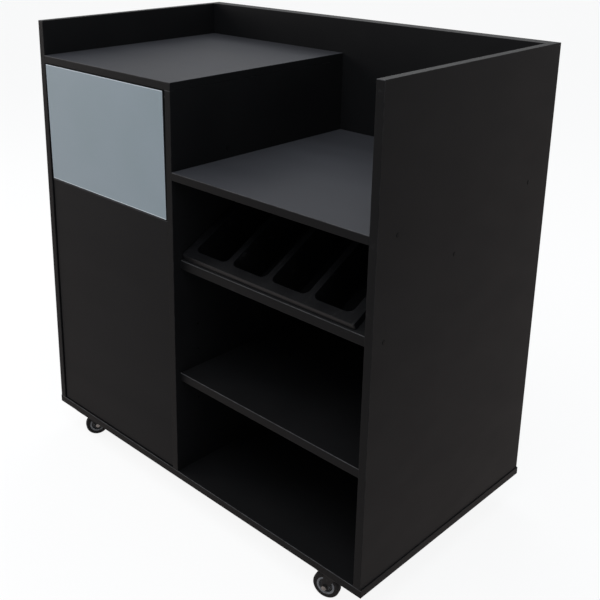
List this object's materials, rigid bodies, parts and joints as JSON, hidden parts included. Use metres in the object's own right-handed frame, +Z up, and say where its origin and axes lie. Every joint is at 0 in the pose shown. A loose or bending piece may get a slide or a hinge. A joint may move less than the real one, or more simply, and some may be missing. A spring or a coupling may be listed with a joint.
{
  "type": "waiter station",
  "caption": "Wheeled black service station: sloping lift-out cutlery tray under a worktop, open shelves, a door and a swinging waste flap beside them, on swivel castors.",
  "frame": {"origin": "centre of the footprint at floor level", "axes": "+X to the right as seen by the user at the front, +Y to the rear, +Z up"},
  "size_m": [1.054, 0.6038, 1.12],
  "materials": {
    "carcass_laminate": "black melamine on board, satin",
    "edge_banding": "black plastic edge band, satin",
    "tray_plastic": "black moulded plastic, fine grain",
    "flap_board": "black painted board",
    "grey_facing": "grey satin sheet",
    "bright_steel": "zinc-plated steel",
    "castor_steel": "black-coated pressed steel",
    "wheel_grey": "pale grey plastic",
    "tyre_rubber": "black rubber",
    "black_plastic": "black plastic",
    "beech": "raw beech"
  },
  "bodies": {
    "carcass": {"base_board": "carcass_laminate", "left_side_panel": "carcass_laminate", "right_side_panel": "carcass_laminate", "divider_panel": "carcass_laminate", "raised_top": "carcass_laminate", "worktop": "carcass_laminate", "inner_back_panel": "carcass_laminate", "rear_cover_panel": "carcass_laminate", "tray_shelf": "carcass_laminate", "flap_stop_lath": "carcass_laminate", "base_board_edging": "edge_banding", "left_side_edging": "edge_banding", "right_side_edging": "edge_banding", "divider_edging": "edge_banding", "raised_top_edging": "edge_banding", "worktop_edging": "edge_banding", "tray_shelf_edging": "edge_banding", "connector_screws": "bright_steel", "wood_screws": "bright_steel", "flap_stop_screws": "bright_steel", "shelf_pins": "bright_steel", "hinge_arms": "bright_steel", "hinge_mounting_plates": "bright_steel", "castor_screws": "bright_steel", "screw_caps": "black_plastic", "flap_stop_screw_caps": "black_plastic", "flap_stop_pegs": "black_plastic", "flap_pivot_bushes": "black_plastic", "push_latch_housing": "black_plastic", "carcass_dowels": "beech", "castor_plates": "castor_steel"},
    "door": {"door_panel": "carcass_laminate", "door_edging": "edge_banding", "hinge_cups": "bright_steel", "hinge_cup_screws": "bright_steel", "latch_strike_disc": "bright_steel"},
    "waste_flap": {"flap_board": "flap_board", "flap_facing_sheet": "grey_facing", "flap_pivot_pins": "bright_steel"},
    "tray": {"cutlery_tray": "tray_plastic"},
    "loose_shelf": {"middle_shelf": "carcass_laminate", "middle_shelf_edging": "edge_banding"},
    "latch_plunger": {"push_latch_plunger": "black_plastic"},
    "castor_fork_front_left": {"castor_fork_front_left": "castor_steel", "castor_axle_front_left": "bright_steel"},
    "castor_wheel_front_left": {"wheel_core_front_left": "wheel_grey", "wheel_tyre_front_left": "tyre_rubber"},
    "castor_fork_front_right": {"castor_fork_front_right": "castor_steel", "castor_axle_front_right": "bright_steel"},
    "castor_wheel_front_right": {"wheel_core_front_right": "wheel_grey", "wheel_tyre_front_right": "tyre_rubber"},
    "castor_fork_rear_left": {"castor_fork_rear_left": "castor_steel", "castor_axle_rear_left": "bright_steel"},
    "castor_wheel_rear_left": {"wheel_core_rear_left": "wheel_grey", "wheel_tyre_rear_left": "tyre_rubber"},
    "castor_fork_rear_right": {"castor_fork_rear_right": "castor_steel", "castor_axle_rear_right": "bright_steel"},
    "castor_wheel_rear_right": {"wheel_core_rear_right": "wheel_grey", "wheel_tyre_rear_right": "tyre_rubber"}
  },
  "joints": [
    {"name": "door_hinge", "type": "hinge", "parent": "carcass", "child": "door", "pos_m": [-0.5025, -0.297, 0.409], "axis": [0, 0, -1], "range_deg": [0, 105]},
    {"name": "flap_hinge", "type": "hinge", "parent": "carcass", "child": "waste_flap", "pos_m": [-0.2785, -0.2921, 1.0015], "axis": [1, 0, 0], "range_deg": [0, 44.3]},
    {"name": "tray_lift", "type": "slide", "parent": "carcass", "child": "tray", "axis": [0, -0.4695, 0.8829], "range_m": [0, 0.045]},
    {"name": "shelf_lift", "type": "slide", "parent": "carcass", "child": "loose_shelf", "axis": [0, 0, 1], "range_m": [0, 0.03]},
    {"name": "latch_plunger_slide", "type": "slide", "parent": "carcass", "child": "latch_plunger", "axis": [0, -1, 0], "range_m": [0, 0.012]},
    {"name": "swivel_front_left", "type": "hinge", "parent": "carcass", "child": "castor_fork_front_left", "pos_m": [-0.434, -0.269, 0.0653], "axis": [0, 0, 1], "continuous": true},
    {"name": "roll_front_left", "type": "hinge", "parent": "castor_fork_front_left", "child": "castor_wheel_front_left", "pos_m": [-0.42649, -0.25487, 0.03], "axis": [-0.8829, 0.4695, 0], "continuous": true},
    {"name": "swivel_front_right", "type": "hinge", "parent": "carcass", "child": "castor_fork_front_right", "pos_m": [0.434, -0.269, 0.0653], "axis": [0, 0, 1], "continuous": true},
    {"name": "roll_front_right", "type": "hinge", "parent": "castor_fork_front_right", "child": "castor_wheel_front_right", "pos_m": [0.41862, -0.27341, 0.03], "axis": [0.2756, -0.9613, 0], "continuous": true},
    {"name": "swivel_rear_left", "type": "hinge", "parent": "carcass", "child": "castor_fork_rear_left", "pos_m": [-0.434, 0.266, 0.0653], "axis": [0, 0, 1], "continuous": true},
    {"name": "roll_rear_left", "type": "hinge", "parent": "castor_fork_rear_left", "child": "castor_wheel_rear_left", "pos_m": [-0.44862, 0.25949, 0.03], "axis": [0.4067, -0.9135, 0], "continuous": true},
    {"name": "swivel_rear_right", "type": "hinge", "parent": "carcass", "child": "castor_fork_rear_right", "pos_m": [0.434, 0.266, 0.0653], "axis": [0, 0, 1], "continuous": true},
    {"name": "roll_rear_right", "type": "hinge", "parent": "castor_fork_rear_right", "child": "castor_wheel_rear_right", "pos_m": [0.42372, 0.25374, 0.03], "axis": [0.766, -0.6428, 0], "continuous": true}
  ],
  "couplings": [
    {"joint": "latch_plunger_slide", "follows": "door_hinge", "m_per_rad": 0.0065}
  ]
}
